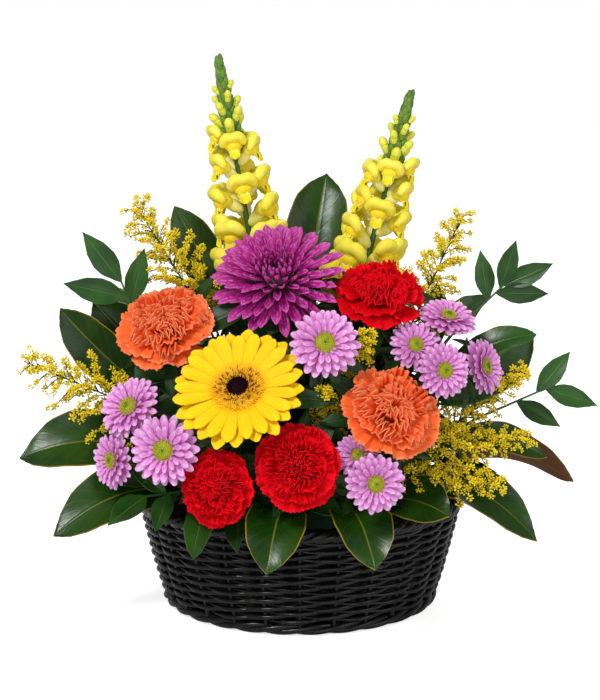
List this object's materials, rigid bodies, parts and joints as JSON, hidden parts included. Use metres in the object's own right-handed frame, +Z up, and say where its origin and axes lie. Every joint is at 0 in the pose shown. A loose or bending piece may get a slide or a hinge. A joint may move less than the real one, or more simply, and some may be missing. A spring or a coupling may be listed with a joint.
{
  "type": "flower basket arrangement",
  "caption": "Round flared wicker basket holding foam with cut flowers, glossy leaves and feathery sprays fanned out above its front, and two tall flower spikes at the back.",
  "frame": {"origin": "middle of the basket's underside, on the surface it stands on", "axes": "+Z up, -Y towards the side that the flowers face, +X to that viewer's right"},
  "size_m": [0.459, 0.3389, 0.4344],
  "materials": {
    "black_wicker": "glossy black paint over willow",
    "black_liner": "satin",
    "floral_foam": "matte, fine-pored",
    "magnolia_leaf": "waxy gloss, thin yellow edge",
    "salal_leaf": "waxy gloss",
    "ruscus_leaf": "satin, fine lengthwise veins",
    "snapdragon_yellow": "soft matte petals",
    "goldenrod_yellow": "matte, powdery",
    "purple_petals": "satin petals, paler along the ridges",
    "yellow_petals": "satin petals round a dark eye",
    "red_petals": "velvety ruffled petals",
    "orange_petals": "velvety ruffled petals, paler edges",
    "lilac_petals": "satin petals round a yellow-green disc"
  },
  "bodies": {
    "root": {"basket_base": "black_wicker", "basket_foot_border": "black_wicker", "basket_rim_border": "black_wicker", "basket_wall": "black_wicker", "floral_foam": "floral_foam", "goldenrod_back": "goldenrod_yellow", "goldenrod_centre": "goldenrod_yellow", "goldenrod_centre_low": "goldenrod_yellow", "goldenrod_left": "goldenrod_yellow", "goldenrod_left_high": "goldenrod_yellow", "goldenrod_right": "goldenrod_yellow", "goldenrod_right_high": "goldenrod_yellow", "goldenrod_right_low": "goldenrod_yellow", "goldenrod_right_mid": "goldenrod_yellow", "lilac_daisy_centre": "lilac_petals", "lilac_daisy_left_inner": "lilac_petals", "lilac_daisy_left_outer": "lilac_petals", "lilac_daisy_left_top": "lilac_petals", "lilac_daisy_low_back": "lilac_petals", "lilac_daisy_low_front": "lilac_petals", "lilac_daisy_right_front": "lilac_petals", "lilac_daisy_right_inner": "lilac_petals", "lilac_daisy_right_outer": "lilac_petals", "lilac_daisy_right_top": "lilac_petals", "magnolia_leaf_back": "magnolia_leaf", "magnolia_leaf_back_left": "magnolia_leaf", "magnolia_leaf_back_right": "magnolia_leaf", "magnolia_leaf_front": "magnolia_leaf", "magnolia_leaf_front_right": "magnolia_leaf", "magnolia_leaf_left_back": "magnolia_leaf", "magnolia_leaf_left_high": "magnolia_leaf", "magnolia_leaf_left_low": "magnolia_leaf", "magnolia_leaf_left_wide": "magnolia_leaf", "magnolia_leaf_right_brown": "magnolia_leaf", "magnolia_leaf_right_high": "magnolia_leaf", "magnolia_leaf_right_long": "magnolia_leaf", "magnolia_leaf_right_rim": "magnolia_leaf", "magnolia_leaf_right_small": "magnolia_leaf", "magnolia_leaf_top": "magnolia_leaf", "magnolia_leaf_top_left": "magnolia_leaf", "orange_carnation_left": "orange_petals", "orange_carnation_right": "orange_petals", "plastic_liner": "black_liner", "purple_chrysanthemum": "purple_petals", "red_carnation_centre": "red_petals", "red_carnation_left": "red_petals", "red_carnation_top": "red_petals", "ruscus_left_high": "ruscus_leaf", "ruscus_left_low": "ruscus_leaf", "ruscus_right": "ruscus_leaf", "ruscus_right_high": "ruscus_leaf", "salal_branch_back": "salal_leaf", "salal_branch_back_left": "salal_leaf", "salal_branch_back_right": "salal_leaf", "salal_leaf_behind_gerbera": "salal_leaf", "salal_leaf_left_rim": "salal_leaf", "salal_leaf_right_high": "salal_leaf", "snapdragon_left": "snapdragon_yellow", "snapdragon_right": "snapdragon_yellow", "yellow_gerbera": "yellow_petals"}
  },
  "joints": []
}
